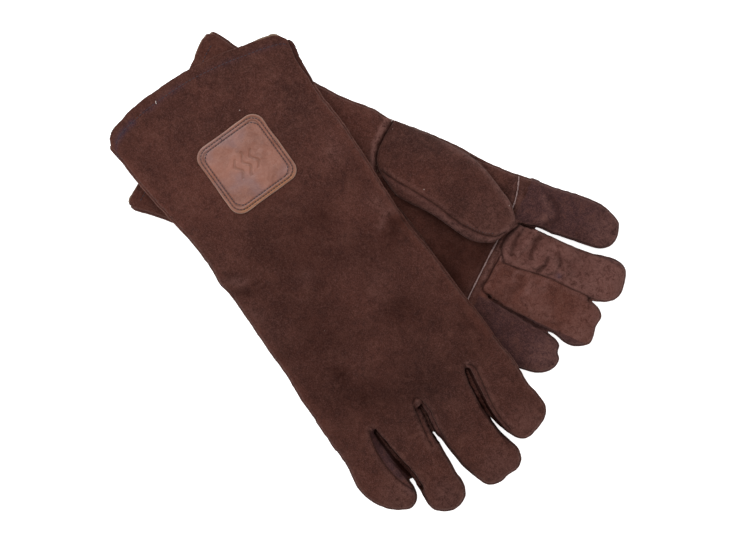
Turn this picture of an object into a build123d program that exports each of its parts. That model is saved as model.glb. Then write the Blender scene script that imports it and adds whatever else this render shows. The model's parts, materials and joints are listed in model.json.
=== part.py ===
from build123d import *
import os
from dataclasses import dataclass
from math import atan2, degrees

# A pair of long leather gauntlets, laid flat and crossed at the cuffs. Millimetres throughout.
# Each glove has its own plan: x runs from the cuff to the fingertips, y towards the thumb side.
# The left glove lies palm up on the table, and its plan is the model's own X and Y.
# The right glove lies back up across it, turned about Z, and drapes over the left one's edge.

# Leather and thicknesses
LEATHER = 2.0
LINING = 2.0
WALL = LEATHER + LINING
THICKNESS = 18.0
SPLIT = 0.3  # half of the cut between pieces that move against each other

# Plan of the hand and cuff
KNUCKLE_X = 290.0
PALM_SEAM_X = 277.0
WELT_WIDTH = 1.6
WELT_PROUD = 1.0
WELT_STANDS_FROM_Y = -34.0  # the welt stands proud from here to the thumb side
HEM_INSET = 8.0
THREAD_WIDTH = 0.9
THREAD_PROUD = 0.5

# The right glove across the left one
CROSSING_ANGLE = -28.5
CROSSING_X = 17.3
CROSSING_Y = 26.8
RAISED = 26.7  # its underside above the table where it lies on the left glove
DRAPE_KNEE_Y = -72.0  # where it starts to fall, just past the left glove's edge
DRAPE_FOOT_Y = -150.0  # where it reaches the table

# Thumbs, folded over the palm along a slanting crease
CREASE_START = (176.0, 36.0)
CREASE_END = (233.0, 72.0)
THUMB_CORNER = (165.0, 72.0)
THUMB_BACK_SHARE = 0.35  # of the thumb's thickness
THUMB_STRIP_SHARE = 0.75
THUMB_STRIP_WIDTH = 6.5
THUMB_GAP = 0.3  # above the palm it lies on

# The patch on the back of the right cuff
PATCH_SIDE = 62.0
PATCH_RADIUS = 10.0
PATCH_THICKNESS = 1.6
PATCH_CENTRE = (64.0, -4.0)
PATCH_THREAD_INSETS = (2.4, 5.3)

FAR = 600.0  # longer than the model


@dataclass
class Finger:
    """One finger in plan: its base on the knuckle line and its round tip."""

    name: str
    base_y: float
    base_half: float
    tip_x: float
    tip_y: float
    tip_half: float
    base_under: float = 0.0  # its underside above the table at the knuckles
    tip_under: float = 0.0  # and at the tip


@dataclass
class Hand:
    """The plan of one glove's hand and cuff."""

    cuff_little: tuple
    cuff_bulge: tuple
    cuff_thumb: tuple
    waist_x: float
    waist_thumb: float
    waist_little: float
    knuckle_thumb: float
    knuckle_little: float


LEFT_HAND = Hand((1, -77), (-4, 0), (1, 77), 150, 73.5, -73, 75, -66)
RIGHT_HAND = Hand((-10, -84), (-27.5, -25), (5, 83), 150, 72, -78, 71, -84.5)

LEFT_FINGERS = (
    Finger("index", 58.6, 16.6, 364, 63.5, 17.5),
    Finger("middle", 24.6, 16.4, 385, 27, 17),
    Finger("ring", -7.2, 14.2, 381, -12, 18),
    Finger("little", -43.6, 21, 363, -49, 15.5),
)
RIGHT_FINGERS = (
    Finger("index", 54.2, 16.2, 373, 50.5, 19, 25.5, 8),
    Finger("middle", 14.6, 21.2, 389, 10, 19, 14, 0),
    Finger("ring", -31.4, 22.4, 384, -34.5, 16.5, 4, 0),
    Finger("little", -69.6, 14.8, 363, -71, 16.5, 0, 0),
)

LEFT_THUMB_TIP = (267.5, 36.0, 18.5)  # centre x, centre y, radius
RIGHT_THUMB_TIP = (244.0, 44.0, 17.0)
LEFT_THUMB_THICKNESS = 12.0
RIGHT_THUMB_THICKNESS = 8.0


# Plan outlines

def hand_outline(hand, inset=0.0, past_ends=0.0):
    """The hand and cuff, pulled in at the two sides and let out past the two ends."""
    little = (hand.cuff_little[0] - past_ends, hand.cuff_little[1] + inset)
    bulge = (hand.cuff_bulge[0] - past_ends, hand.cuff_bulge[1])
    thumb = (hand.cuff_thumb[0] - past_ends, hand.cuff_thumb[1] - inset)
    end_x = KNUCKLE_X - SPLIT + past_ends
    knuckle_thumb = (end_x, hand.knuckle_thumb - inset)
    knuckle_little = (end_x, hand.knuckle_little + inset)
    cuff = ThreePointArc(little, bulge, thumb)
    thumb_side = ThreePointArc(thumb, (hand.waist_x, hand.waist_thumb - inset), knuckle_thumb)
    knuckles = Line(knuckle_thumb, knuckle_little)
    little_side = ThreePointArc(knuckle_little, (hand.waist_x, hand.waist_little + inset), little)
    return make_face([*cuff.edges(), *thumb_side.edges(), *knuckles.edges(), *little_side.edges()])


def finger_outline(finger, inset=0.0, past_base=0.0):
    """A finger with straight sides and a round tip, starting just past the knuckle line."""
    half = finger.tip_half - inset
    start_x = KNUCKLE_X + SPLIT - past_base
    turn_x = finger.tip_x - finger.tip_half
    upper_base = (start_x, finger.base_y + finger.base_half - inset)
    lower_base = (start_x, finger.base_y - finger.base_half + inset)
    upper_turn = (turn_x, finger.tip_y + half)
    lower_turn = (turn_x, finger.tip_y - half)
    sides = Polyline(upper_turn, upper_base, lower_base, lower_turn)
    tip = ThreePointArc(lower_turn, (finger.tip_x - inset, finger.tip_y), upper_turn)
    return make_face([*sides.edges(), *tip.edges()])


def crease_offset(distance):
    """The thumb's crease, moved towards the thumb's tip by a distance."""
    start = Vector(*CREASE_START)
    end = Vector(*CREASE_END)
    along = (end - start).normalized()
    across = Vector(along.Y, -along.X) * distance
    return start + across, end + across


def thumb_outline(tip, pulled_in=0.0):
    """The thumb past its crease: straight sides to a round tip. pulled_in narrows its lower side."""
    start, end = crease_offset(SPLIT)
    start = start + (end - start).normalized() * pulled_in
    x, y, radius = tip
    centre = Vector(x, y + pulled_in / 2)
    round_tip = Circle(radius - pulled_in / 2).moved(Location(centre))
    return make_hull([*Line(start, end).edges(), *round_tip.edges()])


def thumb_root_outline():
    """The thumb's leather between its base seam and its crease, which stays on the hand."""
    start, end = crease_offset(-SPLIT)
    return make_face(Polyline(start, end, THUMB_CORNER, close=True).edges())


def band(x_low, x_high):
    """A strip across the whole plan between two x positions."""
    return Pos((x_low + x_high) / 2, 0) * Rectangle(x_high - x_low, FAR)


def cuff_band(hand, inset, width):
    """A narrow strip that follows the cuff's edge inside it."""
    sleeve = hand_outline(hand, inset=HEM_INSET / 2)
    return (sleeve.moved(Pos(inset, 0)) - sleeve.moved(Pos(inset + width, 0))) & band(-FAR / 2, HEM_INSET * 4)


# Layers: plan outlines given a bottom and a top

class LeftGlove:
    """Flat on the table, back down and palm up."""

    name = "left"
    hand = LEFT_HAND
    fingers = LEFT_FINGERS
    thumb_tip = LEFT_THUMB_TIP
    thumb_thickness = LEFT_THUMB_THICKNESS
    thumb_bottom = THICKNESS + THUMB_GAP
    place = Pos(0, 0, 0)

    def span(self, from_back, to_back):
        """Heights of a layer given by its distances from the back's outer face."""
        return from_back, to_back

    def layer(self, outline, from_back, to_back):
        bottom, top = self.span(from_back, to_back)
        return extrude(Pos(0, 0, bottom) * outline, top - bottom)


class RightGlove:
    """Back up across the left glove: raised where it lies on it, then falling to the table."""

    name = "right"
    hand = RIGHT_HAND
    fingers = RIGHT_FINGERS
    thumb_tip = RIGHT_THUMB_TIP
    thumb_thickness = RIGHT_THUMB_THICKNESS
    thumb_bottom = RAISED - THUMB_GAP - RIGHT_THUMB_THICKNESS
    place = Pos(CROSSING_X, CROSSING_Y) * Rot(Z=CROSSING_ANGLE)

    def span(self, from_back, to_back):
        return THICKNESS - to_back, THICKNESS - from_back

    def layer(self, outline, from_back, to_back):
        bottom, top = self.span(from_back, to_back)
        low_edge = [(FAR, RAISED), (DRAPE_KNEE_Y, RAISED), (DRAPE_FOOT_Y, 0), (-FAR, 0)]
        section = [(y, z + bottom) for y, z in low_edge]
        section += [(y, z + top) for y, z in reversed(low_edge)]
        sheet = extrude(Plane.YZ.offset(-FAR) * make_face(Polyline(*section, close=True).edges()), 2 * FAR)
        column = extrude(self.place * Pos(0, 0, -FAR / 2) * outline, FAR)
        return sheet & column


# The hand and cuff

def back(glove):
    return glove.layer(hand_outline(glove.hand), 0, LEATHER)


def palm(glove):
    outline = hand_outline(glove.hand) & band(-FAR / 2, PALM_SEAM_X - WELT_WIDTH / 2)
    return glove.layer(outline, THICKNESS - LEATHER, THICKNESS)


def finger_roots(glove):
    outline = hand_outline(glove.hand) & band(PALM_SEAM_X + WELT_WIDTH / 2, FAR / 2)
    return glove.layer(outline, THICKNESS - LEATHER, THICKNESS)


def palm_welt(glove):
    """Flush in the palm's seam, and standing proud of it except under the thumb."""
    half = WELT_WIDTH / 2
    outline = hand_outline(glove.hand) & band(PALM_SEAM_X - half, PALM_SEAM_X + half)
    flush = glove.layer(outline, THICKNESS - LEATHER, THICKNESS)
    thumb_side = Pos(PALM_SEAM_X, WELT_STANDS_FROM_Y + FAR / 2) * Rectangle(WELT_WIDTH, FAR)
    x, y, radius = glove.thumb_tip
    under_thumb = Pos(x, y) * Circle(radius + WELT_WIDTH)
    return flush + glove.layer((outline & thumb_side) - under_thumb, THICKNESS, THICKNESS + WELT_PROUD)


def inner_outline(glove, inset):
    """The plan inside a wall along each side, open at the cuff and at the fingers."""
    return hand_outline(glove.hand, inset=inset, past_ends=2 * WALL)


def side_welts(glove):
    outline = hand_outline(glove.hand) - inner_outline(glove, LEATHER)
    return glove.layer(outline, LEATHER, THICKNESS - LEATHER)


def lining(glove):
    sleeve = hand_outline(glove.hand) & inner_outline(glove, LEATHER)
    room = inner_outline(glove, WALL)
    return glove.layer(sleeve, LEATHER, THICKNESS - LEATHER) - glove.layer(room, WALL, THICKNESS - WALL)


def hem_thread(glove):
    """The stitch line on the face that is seen."""
    outline = cuff_band(glove.hand, HEM_INSET, THREAD_WIDTH)
    if glove.name == "left":
        return glove.layer(outline, THICKNESS, THICKNESS + THREAD_PROUD)
    return glove.layer(outline, -THREAD_PROUD, 0)


# Thumbs

def thumb_part(glove, outline, low_share, high_share):
    """A layer of the thumb, between two shares of its thickness measured from the palm."""
    height = glove.thumb_thickness * (high_share - low_share)
    if glove.name == "left":
        bottom = glove.thumb_bottom + glove.thumb_thickness * low_share
    else:
        bottom = glove.thumb_bottom + glove.thumb_thickness * (1 - high_share)
    return extrude(glove.place * Pos(0, 0, bottom) * outline, height)


def thumb_root(glove):
    return thumb_part(glove, thumb_root_outline(), 0, 1)


def thumb_back(glove):
    return thumb_part(glove, thumb_outline(glove.thumb_tip), 0, THUMB_BACK_SHARE)


def thumb_front(glove):
    outline = thumb_outline(glove.thumb_tip, THUMB_STRIP_WIDTH)
    return thumb_part(glove, outline, THUMB_BACK_SHARE, 1)


def thumb_strip(glove):
    outline = thumb_outline(glove.thumb_tip) - thumb_outline(glove.thumb_tip, THUMB_STRIP_WIDTH)
    return thumb_part(glove, outline, THUMB_BACK_SHARE, THUMB_STRIP_SHARE)


# Fingers

def finger_place(glove, finger):
    """Turns a finger down about the top edge of its base, so that its tip is as low as stated."""
    fall = degrees(atan2(finger.base_under - finger.tip_under, finger.tip_x - KNUCKLE_X))
    hinge_z = finger.base_under + THICKNESS
    return glove.place * Pos(KNUCKLE_X, 0, hinge_z) * Rot(Y=fall) * Pos(-KNUCKLE_X, 0, -THICKNESS)


def finger_layer(glove, finger, outline, from_back, to_back):
    """A layer of a finger, cut off upright just past the knuckle line."""
    bottom, top = glove.span(from_back, to_back)
    layer = finger_place(glove, finger) * extrude(Pos(0, 0, bottom) * outline, top - bottom)
    past_knuckles = band(KNUCKLE_X + SPLIT, FAR)
    return layer & extrude(glove.place * Pos(0, 0, -FAR / 2) * past_knuckles, FAR)


def finger_back(glove, finger):
    return finger_layer(glove, finger, finger_outline(finger), 0, LEATHER)


def finger_front(glove, finger):
    return finger_layer(glove, finger, finger_outline(finger), THICKNESS - LEATHER, THICKNESS)


def finger_gusset(glove, finger):
    """A strip along each side and one around the tip, between the front and the back."""
    ring = finger_outline(finger) - finger_outline(finger, inset=WALL, past_base=WALL)
    turn_x = finger.tip_x - finger.tip_half
    strips = finger_layer(glove, finger, ring & band(0, turn_x), LEATHER, THICKNESS - LEATHER)
    tip = finger_layer(glove, finger, ring & band(turn_x, FAR), LEATHER, THICKNESS - LEATHER)
    return Compound(children=[*strips.solids(), *tip.solids()])


# The patch

def patch_square(inset=0.0):
    side = PATCH_SIDE - 2 * inset
    return Pos(*PATCH_CENTRE) * RectangleRounded(side, side, PATCH_RADIUS - inset * 0.8)


def patch(glove):
    return glove.layer(patch_square(), -PATCH_THICKNESS, 0)


def patch_thread(glove):
    rings = []
    for inset in PATCH_THREAD_INSETS:
        outline = patch_square(inset) - patch_square(inset + THREAD_WIDTH)
        ring = glove.layer(outline, -PATCH_THICKNESS - THREAD_PROUD, -PATCH_THICKNESS)
        rings += ring.solids()
    return Compound(children=rings)


# The whole model

HAND_PIECES = {
    "back": back,
    "palm": palm,
    "finger_roots": finger_roots,
    "palm_welt": palm_welt,
    "side_welts": side_welts,
    "lining": lining,
    "hem_thread": hem_thread,
    "thumb_root": thumb_root,
    "thumb_back": thumb_back,
    "thumb_front": thumb_front,
    "thumb_strip": thumb_strip,
}
FINGER_PIECES = {
    "back": finger_back,
    "front": finger_front,
    "gusset": finger_gusset,
}


def glove_nodes(glove):
    nodes = {}
    for piece, make in HAND_PIECES.items():
        nodes[f"{glove.name}_{piece}"] = make(glove)
    for finger in glove.fingers:
        for piece, make in FINGER_PIECES.items():
            nodes[f"{glove.name}_{finger.name}_{piece}"] = make(glove, finger)
    return nodes


def all_nodes():
    nodes = glove_nodes(LeftGlove()) | glove_nodes(RightGlove())
    nodes["right_patch"] = patch(RightGlove())
    nodes["right_patch_thread"] = patch_thread(RightGlove())
    return {name: Compound(children=shape.solids()) for name, shape in nodes.items()}


def centring(nodes):
    """Moves the model so that its origin is the middle of its bounding box's underside."""
    boxes = [shape.bounding_box() for shape in nodes.values()]
    middle_x = (min(b.min.X for b in boxes) + max(b.max.X for b in boxes)) / 2
    middle_y = (min(b.min.Y for b in boxes) + max(b.max.Y for b in boxes)) / 2
    return Pos(-middle_x, -middle_y, -min(b.min.Z for b in boxes))


def main():
    os.makedirs("parts", exist_ok=True)
    nodes = all_nodes()
    shift = centring(nodes)
    print("origin in the left glove's plan:", shift.position * -1)
    for name, shape in nodes.items():
        export_step(shift * shape, f"parts/{name}.step")


main()
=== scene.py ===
import json
from math import cos, pi, radians, sin

import bpy
import numpy as np
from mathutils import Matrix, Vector
from mathutils.bvhtree import BVHTree


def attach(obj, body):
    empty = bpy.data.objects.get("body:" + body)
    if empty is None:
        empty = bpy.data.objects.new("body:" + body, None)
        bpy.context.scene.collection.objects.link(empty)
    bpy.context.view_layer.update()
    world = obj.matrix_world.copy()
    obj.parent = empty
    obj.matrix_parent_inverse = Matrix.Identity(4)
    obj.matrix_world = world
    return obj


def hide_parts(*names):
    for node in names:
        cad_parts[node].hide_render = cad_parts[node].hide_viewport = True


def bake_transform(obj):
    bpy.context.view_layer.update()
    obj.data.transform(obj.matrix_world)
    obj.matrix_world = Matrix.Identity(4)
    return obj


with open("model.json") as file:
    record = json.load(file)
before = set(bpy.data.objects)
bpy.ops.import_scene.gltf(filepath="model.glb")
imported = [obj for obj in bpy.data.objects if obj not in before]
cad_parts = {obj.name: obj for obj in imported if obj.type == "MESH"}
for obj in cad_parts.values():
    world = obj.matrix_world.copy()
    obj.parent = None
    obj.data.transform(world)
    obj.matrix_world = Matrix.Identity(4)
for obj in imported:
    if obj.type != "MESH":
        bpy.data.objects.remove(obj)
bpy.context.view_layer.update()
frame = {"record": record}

# Two suede gauntlets. Each is one closed skin in its own flat plan (millimetres: x from the cuff
# to the fingertips, y towards the thumb, z up), cut into its leather pieces, then laid in place.

MM = 0.001
VOXEL = 1.0           # spacing of the skins' points
SMOOTHING = 6         # rounds of evening out those points
HAND_ROUNDING, FINGER_ROUNDING, THUMB_ROUNDING = 17, 12.0, 16
MELT = 2.0            # how softly fingers and hand run together
THICKNESS = 18.0
MIDDLE = THICKNESS / 2
KNUCKLE_X = 290.0
SPLIT_X = 277.0       # the fingers' pieces start here, at the palm's seam
BEND_START_X = 278.0
BEND_END_X = 306.0
WELT_INSET = 6.0      # the palm's piping starts this far from the little finger's side
WELT_RADIUS = 0.62
LINING_WALL = 2.6
ROOM_ROUNDING = 13
ROOM_END_X = 270      # the room in the hand and cuff ends before the fingers
HEM_INSET = 8.0
GUSSET_HALF = 3.2     # half the height of the strips round the fingers
WELT_HALF = 2.2
WALL_LEVEL = 4.0      # where the walls between the fingers are closed
SLIT_FLOOR = 4.6      # half height of the skin that closes a slit

# The right glove across the left one, as in the frame
CROSSING = radians(-28.5)
TURNS = {"left": 0.0, "right": CROSSING}
CROSSING_X, CROSSING_Y = 17.3, 26.8
RAISED = 26.7
DRAPE_KNEE_Y, DRAPE_FOOT_Y = -72.0, -150.0


def plan_origin():
    """Where the left glove's plan has its zero, in the frame's millimetres."""
    joints = {joint["name"]: joint for joint in frame["record"]["behaviour"]["joints"]}
    x, y, _ = joints["left_middle_flex"]["pos_m"]
    return x / MM - KNUCKLE_X, y / MM - 24.6


ORIGIN_X, ORIGIN_Y = plan_origin()

# Plan shapes. Each finger: stations (x, lower y, upper y), then points round its tip.
FINGERS = {"left": {
    "index": ([(284, 40, 76.5), (292, 41, 77), (300, 42.6, 77.8), (307, 44, 78.8), (316, 43.8, 80),
               (324, 44.8, 81), (334, 45.9, 81.6), (347, 46.8, 80.6)],
              [(357, 49), (363, 53.8), (365.2, 61), (364, 68.2), (360.4, 74.8)]),
    "middle": ([(284, 6, 41), (292, 6.2, 41.2), (306, 7.2, 41.2), (322, 9.2, 41),
                (338, 9.8, 41.2), (354, 9.4, 42.6), (366, 8.4, 45.4)],
               [(371.5, 8.9), (381, 13.2), (386, 19.6), (386.4, 29), (382.8, 41), (376.4, 45.4)]),
    "ring": ([(284, -22, 6), (292, -23.4, 6.2), (306, -26, 7.2), (322, -27, 9.2),
              (338, -28.6, 9.8), (352, -29, 9.4), (362, -31.8, 8)],
             [(371.2, -31), (379.8, -25.2), (381, -18), (379.6, -9.4), (380.2, -1.2), (376.4, 4),
              (369, 6.8)]),
    "little": ([(284, -67, -22), (292, -67, -23.4), (306, -67, -26), (322, -67, -27.5),
                (338, -65.6, -29.4)],
               [(352.4, -62.8), (362.2, -54.8), (363.6, -46.6), (360.2, -41.6), (358.4, -35), (350, -31.4)]),
}, "right": {
    "index": ([(262, 38, 69.8), (284, 38, 69.4), (296, 37, 69.5), (315, 32, 71.2), (337, 29.8, 69.2),
               (350, 30.2, 70.4)],
              [(361, 33.2), (368.6, 36.4), (373.6, 43), (372, 53.6), (369, 62.6), (361.8, 69.4)]),
    "middle": ([(284, -9, 38), (296, -10, 37), (309, -12, 33), (324, -14.2, 30.4), (333, -12.8, 29.4),
                (345, -12.8, 28.2), (358, -12.4, 28.8), (370, -10.4, 31)],
               [(382, -7), (387, -2.8), (389.2, 4.8), (388.6, 13), (389, 21), (385, 28), (377.4, 31.4)]),
    "ring": ([(283, -53, -9), (295, -52, -11), (310, -52, -14), (323, -51.8, -15.2), (333, -51.4, -16),
              (342, -51, -17.2), (352, -51.2, -18.2), (362, -52.3, -19.8)],
             [(370, -53.1), (376.8, -50.9), (384, -41), (384.6, -32), (380.8, -24.4), (373, -20.2)]),
    "little": ([(262, -84, -52.5), (284, -85.4, -52.5), (296, -85.6, -52.5), (308, -87.2, -52.5),
                (319, -89.8, -52.8), (330, -90.5, -52.9), (340, -87.8, -53.6)],
               [(347.4, -84.2), (353.8, -79.6), (360.6, -71.2), (363, -65.8), (361.8, -60.2),
                (357, -55.6), (350.6, -53.8)]),
}}

# Slits between the fingers: each follows a gusset's seam and the next finger's wall as (x, seam y,
# wall y). The profile says how deep it is from the seam to the wall, as shares of "deep". It goes
# right through from "opens" on, and a floor closes it before that.
SLITS = {"right": [
    {"line": [(293, -54.4, -52.4), (298, -56.8, -51), (304, -58.6, -50.8), (313, -60.4, -50.4),
              (323, -61, -49.6), (334, -60.6, -48.4), (343, -58.6, -47.8), (354, -54.4, -48.6)],
     "deep": 10.5, "opens": 342,
     "profile": [(0, 0), (0.07, 0.14), (0.5, 0.34), (0.68, 0.6), (0.8, 1), (1, 0.95)]},
    {"line": [(299, -14, -8), (303, -15.4, -7), (309, -16.7, -6.8), (318, -19, -8.8), (325, -20.8, -10),
              (333, -22, -11)],
     "deep": 10.5, "opens": 323,
     "profile": [(0, 0), (0.09, 0.12), (0.34, 0.26), (0.44, 0.95), (0.66, 1), (0.74, 0.5), (0.9, 0.3),
                 (1, 0.3)]},
    {"line": [(296, 40, 37.5), (301, 42.6, 34.8), (311, 41, 32.2), (325, 37.8, 30.2), (334, 36, 29.2),
              (346, 34.8, 28.4), (359, 35.6, 29)],
     "deep": 10.0, "opens": 336,
     "profile": [(0, 0), (0.08, 0.16), (0.34, 0.36), (0.52, 0.8), (0.7, 1), (1, 0.95)]},
], "left": [
    {"line": [(286, 43, 39.5), (294, 43.6, 39.8), (302, 44.6, 41), (312, 45, 41)],
     "deep": 8.0, "opens": 300,
     "profile": [(0, 0), (0.5, 0.4), (0.8, 1), (1, 1)]},
    {"line": [(288.5, -29.6, -23.2), (293, -31, -24), (307, -33, -26.2), (324, -34.4, -27.6),
              (337, -35.6, -29.2), (343, -35.6, -29.4)],
     "deep": 7.0, "opens": 343,
     "profile": [(0, 0), (0.45, 0.12), (0.75, 0.42), (0.9, 1), (1, 1)]},
]}
# Where the left middle and ring fingers lie pressed together
LEFT_MEETING = [(289, 6), (302, 6.6), (315, 8.6), (330, 10.1), (339, 9.9), (348, 9.7), (360, 9.8), (366, 8.4)]
MEETING_FLOOR = 7.6   # half height of the skin below that valley

# Hands: the two long sides as (x, y), and the cuff's edge as (y, x).
SIDES = {"left": {
    "thumb": [(-60, 78), (0, 77.5), (26, 74.6), (60, 75), (90, 74.4), (118, 72.8), (144, 74.4),
              (158, 72.8), (186, 74.8), (214, 75.6), (238, 73.6), (258, 73.6), (286, 76.3), (298, 76.4)],
    "little": [(-60, -80), (0, -78.3), (14, -76.3), (30, -74.6), (60, -73.4), (120, -73.5), (200, -71),
               (260, -68), (298, -66)],
}, "right": {
    "thumb": [(-60, 83), (4, 82.4), (22, 79.2), (41, 76.3), (60, 74.8), (79, 75), (102, 74), (130, 72),
              (162, 69.8), (187, 69), (208, 69.8), (259, 69.8), (298, 69.2)],
    "little": [(-60, -85.4), (-10, -83.3), (4, -82.2), (22, -81.6), (65, -78.4), (89, -76.4), (110, -76),
               (128, -78.4), (145, -77.2), (200, -80.4), (250, -83.5), (298, -85)],
}}
CUFFS = {
    "left": [(-90, 10), (-79, 4), (-74, -3), (-56, -2.4), (0, -2), (40, -3), (58, -4), (73, -2), (77, 2),
             (90, 8)],
    "right": [(-95, 2), (-84, -9), (-79, -16.4), (-72, -20.8), (-60, -23.5), (-40, -24.9), (-18, -24.4),
              (2, -22.6), (30, -17), (46, -12.4), (58, -9), (68, -5.4), (75, -2.2), (79.5, 3.5), (83, 9.5),
              (95, 22)],
}
SEEDS = {"left": 11, "right": 57}


# Curves and fields in plan

def spline(points, steps=8):
    """A Catmull-Rom curve through points."""
    points = np.array(points, float)
    ends = np.vstack([2 * points[0] - points[1], points, 2 * points[-1] - points[-2]])
    curve = []
    for before, start, end, after in zip(ends, ends[1:], ends[2:], ends[3:]):
        for t in np.arange(steps) / steps:
            bend = 2 * start + (end - before) * t
            bend = bend + (2 * before - 5 * start + 4 * end - after) * t ** 2
            curve.append((bend + (3 * start - before - 3 * end + after) * t ** 3) / 2)
    curve.append(points[-1])
    return np.array(curve)


def finger_outline(stations, tip):
    """A finger's edge: along its lower side, round the tip and back."""
    lower = [(x, low) for x, low, _ in stations]
    upper = [(x, high) for x, _, high in stations]
    return spline(lower + tip + upper[::-1])


def columns(points):
    """The coordinates of points, one array for each."""
    return np.array(points, float).T


def bell(value, width):
    """1 at zero, falling off softly over a width."""
    return np.exp(-(value / width) ** 2)


def tip_of(tip):
    """The far point of a fingertip."""
    return max(x for x, _ in tip), (tip[0][1] + tip[-1][1]) / 2


def hand_outline(side):
    return np.vstack([spline(SIDES[side]["little"]), spline(SIDES[side]["thumb"])[::-1]])


def line_distance(px, py, line):
    """Distance to an open line."""
    distance = np.full(px.shape, 1e9)
    for (ax, ay), (bx, by) in zip(line, line[1:]):
        ex, ey = bx - ax, by - ay
        t = np.clip(((px - ax) * ex + (py - ay) * ey) / (ex * ex + ey * ey + 1e-12), 0, 1)
        distance = np.minimum(distance, np.hypot(px - ax - ex * t, py - ay - ey * t))
    return distance


def plan_distance(px, py, outline):
    """Signed distance to a closed outline, negative inside."""
    ring = np.vstack([outline, outline[:1]])
    inside = np.zeros(px.shape, bool)
    for (ax, ay), (bx, by) in zip(ring, ring[1:]):
        if ay != by:
            inside ^= ((ay > py) != (by > py)) & (px < (bx - ax) * (py - ay) / (by - ay) + ax)
    distance = line_distance(px, py, ring)
    return np.where(inside, -distance, distance)


def smoothstep(low, high, value):
    t = np.clip((value - low) / (high - low), 0, 1)
    return t * t * (3 - 2 * t)


def noise(px, py, size, seed):
    """Smooth noise from -1 to 1 with lumps of a size."""
    rng = np.random.default_rng(seed)
    table = rng.uniform(-1, 1, (128, 128))
    u, v = px / size + 40, py / size + 40
    i, j = np.floor(u).astype(int), np.floor(v).astype(int)
    fu, fv = u - i, v - j
    fu, fv = fu * fu * (3 - 2 * fu), fv * fv * (3 - 2 * fv)
    i, j = i % 127, j % 127
    low = table[i, j] * (1 - fu) + table[i + 1, j] * fu
    high = table[i, j + 1] * (1 - fu) + table[i + 1, j + 1] * fu
    return low * (1 - fv) + high * fv


def rough(px, py, size, seed):
    """Three octaves of noise."""
    return (noise(px, py, size, seed) + 0.5 * noise(px, py, size / 2.1, seed + 1)
            + 0.25 * noise(px, py, size / 4.3, seed + 2)) / 1.4


# Solid fields, negative inside

def pillow(side, rounding, height, z, power=2.3):
    """A soft pad from its plan distance: flat in the middle, falling to its edge over a rounding."""
    across = np.maximum(side + rounding, 0) / rounding
    return ((across ** power + (np.abs(z) / height) ** power) ** (1 / power) - 1) * height


def join(a, b, softness):
    share = np.clip(0.5 + 0.5 * (b - a) / softness, 0, 1)
    return b * (1 - share) + a * share - softness * share * (1 - share)


def next_to(values, axis):
    """The values, and their next ones along an axis."""
    turned = np.moveaxis(values, axis, 0)
    return np.moveaxis(turned[:-1], 0, axis), np.moveaxis(turned[1:], 0, axis)


def skin(field, origin, step):
    """Points and quads on a field's zero, one point for each cell that the surface crosses."""
    inside = field < 0
    cells = np.array(field.shape) - 1
    total = np.zeros((*cells, 3))
    count = np.zeros(cells)
    found = []
    for axis in range(3):
        low, high = next_to(inside, axis)
        crossing = low != high
        i = np.argwhere(crossing)
        a, b = (values[crossing] for values in next_to(field, axis))
        points = i.astype(float)
        points[:, axis] += a / (a - b)
        first, second = [n for n in range(3) if n != axis]
        around = []
        for da, db in ((1, 1), (0, 1), (0, 0), (1, 0)):
            cell = i.copy()
            cell[:, first] -= da
            cell[:, second] -= db
            around.append(cell)
        for cell in (around[2], around[1], around[3], around[0]):
            good = ((cell >= 0) & (cell < cells)).all(1)
            where = tuple(cell[good].T)
            np.add.at(total, where, points[good])
            np.add.at(count, where, 1)
        outward = low[crossing] != (axis == 1)
        found.append((i[:, [first, second]], cells[[first, second]], around, outward))
    used = count > 0
    index = np.full(cells, -1)
    index[used] = np.arange(used.sum())
    verts = total[used] / count[used][:, None] * step + np.array(origin)
    quads = []
    for i, limit, around, outward in found:
        good = ((i > 0) & (i < limit)).all(1)
        quad = np.column_stack([index[tuple(cell[good].T)] for cell in around])
        outward = outward[good]
        quad[~outward] = quad[~outward][:, ::-1]
        quads.append(quad)
    return verts, np.vstack(quads)


def normals_of(verts, quads):
    a, b, c, d = (verts[quads[:, n]] for n in range(4))
    face = np.cross(c - a, d - b)
    total = np.zeros_like(verts)
    for n in range(4):
        np.add.at(total, quads[:, n], face)
    return total / np.maximum(np.linalg.norm(total, axis=1), 1e-12)[:, None]


def relaxed(verts, quads, rounds, amount=0.5):
    """Evens out the points towards the middle of their neighbours."""
    edges = np.vstack([quads[:, [n, (n + 1) % 4]] for n in range(4)])
    count = np.zeros(len(verts))
    np.add.at(count, edges[:, 0], 1)
    np.add.at(count, edges[:, 1], 1)
    for turn in range(rounds):
        total = np.zeros_like(verts)
        np.add.at(total, edges[:, 0], verts[edges[:, 1]])
        np.add.at(total, edges[:, 1], verts[edges[:, 0]])
        share = amount if turn % 2 == 0 else -amount * 0.95
        verts = verts + (total / count[:, None] - verts) * share
    return verts


# Laying the flat shapes in place

def drape(row_y, plan_x):
    """How high the right glove's underside lies: over the left glove, then down to the table."""
    fall = (row_y - DRAPE_FOOT_Y) / (DRAPE_KNEE_Y - DRAPE_FOOT_Y)
    soft = 0.1
    rise = soft * np.logaddexp(0, fall / soft) - soft * np.logaddexp(0, (fall - 1) / soft)
    droop = 1 - 0.55 * smoothstep(KNUCKLE_X, 385, plan_x)
    return RAISED * rise * droop


def laid(verts, side):
    """Flat plan points to the frame, in millimetres."""
    x, y, z = verts.T
    if side == "left":
        return np.column_stack([x + ORIGIN_X, y + ORIGIN_Y, z])
    clearance = 0.05
    row_x = CROSSING_X + x * cos(CROSSING) - y * sin(CROSSING)
    row_y = CROSSING_Y + x * sin(CROSSING) + y * cos(CROSSING)
    level = np.maximum(z + drape(row_y, x), clearance)
    return np.column_stack([row_x + ORIGIN_X, row_y + ORIGIN_Y, level])


def frame_point(x, y, z, side):
    return tuple(laid(np.array([[x, y, z]], float), side)[0] * MM)


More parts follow.
